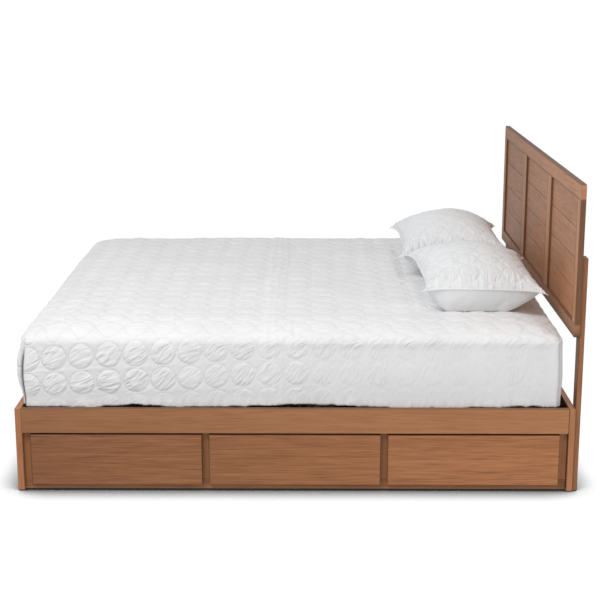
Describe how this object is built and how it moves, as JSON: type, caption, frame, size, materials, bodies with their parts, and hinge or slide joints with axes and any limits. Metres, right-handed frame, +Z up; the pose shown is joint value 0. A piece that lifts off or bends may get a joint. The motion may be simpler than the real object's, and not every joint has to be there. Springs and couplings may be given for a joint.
{
  "type": "platform bed with storage drawers",
  "caption": "Low wooden platform bed with drawers in one side, a raised plank headboard on two posts, a quilted mattress and pillows.",
  "frame": {"origin": "on the floor, in the middle of the bed's outline", "axes": "+X towards the headboard, +Y away from the drawer side, +Z up; the drawers open towards -Y"},
  "size_m": [2.108, 1.99, 1.165],
  "materials": {
    "rail_walnut": "satin",
    "end_board_walnut": "satin",
    "drawer_front_walnut": "satin",
    "face_stile_walnut": "satin",
    "face_rail_walnut": "satin",
    "headboard_rail_walnut": "satin",
    "headboard_stile_walnut": "satin",
    "headboard_plank_walnut": "satin",
    "post_walnut": "satin",
    "bay_panel_ply": "matte",
    "drawer_ply": "matte",
    "drawer_bottom_ply": "matte",
    "pine": "matte",
    "slat_pine": "matte",
    "slide_steel": "satin",
    "zinc_steel": "satin",
    "black_steel": "satin",
    "black_plastic": "matte",
    "quilted_cover": "matte",
    "pillow_cover": "matte"
  },
  "bodies": {
    "frame": {"footboard": "end_board_walnut", "head_end_board": "end_board_walnut", "side_rail_near": "rail_walnut", "side_rail_far": "rail_walnut", "side_panel_far": "face_rail_walnut", "face_bottom_rail": "face_rail_walnut", "face_stile_foot": "face_stile_walnut", "face_stile_mid_foot": "face_stile_walnut", "face_stile_mid_head": "face_stile_walnut", "face_stile_head": "face_stile_walnut", "bay_panel_foot": "bay_panel_ply", "bay_divider_foot": "bay_panel_ply", "bay_divider_head": "bay_panel_ply", "bay_panel_head": "bay_panel_ply", "bay_back_rail": "bay_panel_ply", "slat_ledge_near": "pine", "slat_ledge_far": "pine", "centre_beam": "pine", "beam_legs": "pine", "slats": "slat_pine", "headboard_top_rail": "headboard_rail_walnut", "headboard_bottom_rail": "headboard_rail_walnut", "headboard_stile_near": "headboard_stile_walnut", "headboard_stile_far": "headboard_stile_walnut", "headboard_mullion_near": "headboard_stile_walnut", "headboard_mullion_far": "headboard_stile_walnut", "headboard_planks_near": "headboard_plank_walnut", "headboard_planks_mid": "headboard_plank_walnut", "headboard_planks_far": "headboard_plank_walnut", "headboard_post_near": "post_walnut", "headboard_post_far": "post_walnut", "headboard_bolts": "black_steel", "corner_brackets": "zinc_steel", "bracket_screws": "black_steel", "floor_glides": "black_plastic", "outer_slides": "slide_steel", "mattress": "quilted_cover", "pillow_near": "pillow_cover", "pillow_far": "pillow_cover"},
    "drawer_1": {"drawer_front_1": "drawer_front_walnut", "drawer_side_foot_1": "drawer_ply", "drawer_side_head_1": "drawer_ply", "drawer_back_1": "drawer_ply", "drawer_bottom_1": "drawer_bottom_ply", "inner_slides_1": "slide_steel"},
    "slide_middles_1": {"middle_slides_1": "slide_steel"},
    "drawer_2": {"drawer_front_2": "drawer_front_walnut", "drawer_side_foot_2": "drawer_ply", "drawer_side_head_2": "drawer_ply", "drawer_back_2": "drawer_ply", "drawer_bottom_2": "drawer_bottom_ply", "inner_slides_2": "slide_steel"},
    "slide_middles_2": {"middle_slides_2": "slide_steel"},
    "drawer_3": {"drawer_front_3": "drawer_front_walnut", "drawer_side_foot_3": "drawer_ply", "drawer_side_head_3": "drawer_ply", "drawer_back_3": "drawer_ply", "drawer_bottom_3": "drawer_bottom_ply", "inner_slides_3": "slide_steel"},
    "slide_middles_3": {"middle_slides_3": "slide_steel"}
  },
  "joints": [
    {"name": "drawer_1_slide", "type": "slide", "parent": "frame", "child": "drawer_1", "axis": [0, -1, 0], "range_m": [0, 0.5]},
    {"name": "middles_1_slide", "type": "slide", "parent": "frame", "child": "slide_middles_1", "axis": [0, -1, 0], "range_m": [0, 0.25]},
    {"name": "drawer_2_slide", "type": "slide", "parent": "frame", "child": "drawer_2", "axis": [0, -1, 0], "range_m": [0, 0.5]},
    {"name": "middles_2_slide", "type": "slide", "parent": "frame", "child": "slide_middles_2", "axis": [0, -1, 0], "range_m": [0, 0.25]},
    {"name": "drawer_3_slide", "type": "slide", "parent": "frame", "child": "drawer_3", "axis": [0, -1, 0], "range_m": [0, 0.5]},
    {"name": "middles_3_slide", "type": "slide", "parent": "frame", "child": "slide_middles_3", "axis": [0, -1, 0], "range_m": [0, 0.25]}
  ],
  "couplings": [
    {"joint": "middles_1_slide", "follows": "drawer_1_slide", "ratio": 0.5},
    {"joint": "middles_2_slide", "follows": "drawer_2_slide", "ratio": 0.5},
    {"joint": "middles_3_slide", "follows": "drawer_3_slide", "ratio": 0.5}
  ]
}
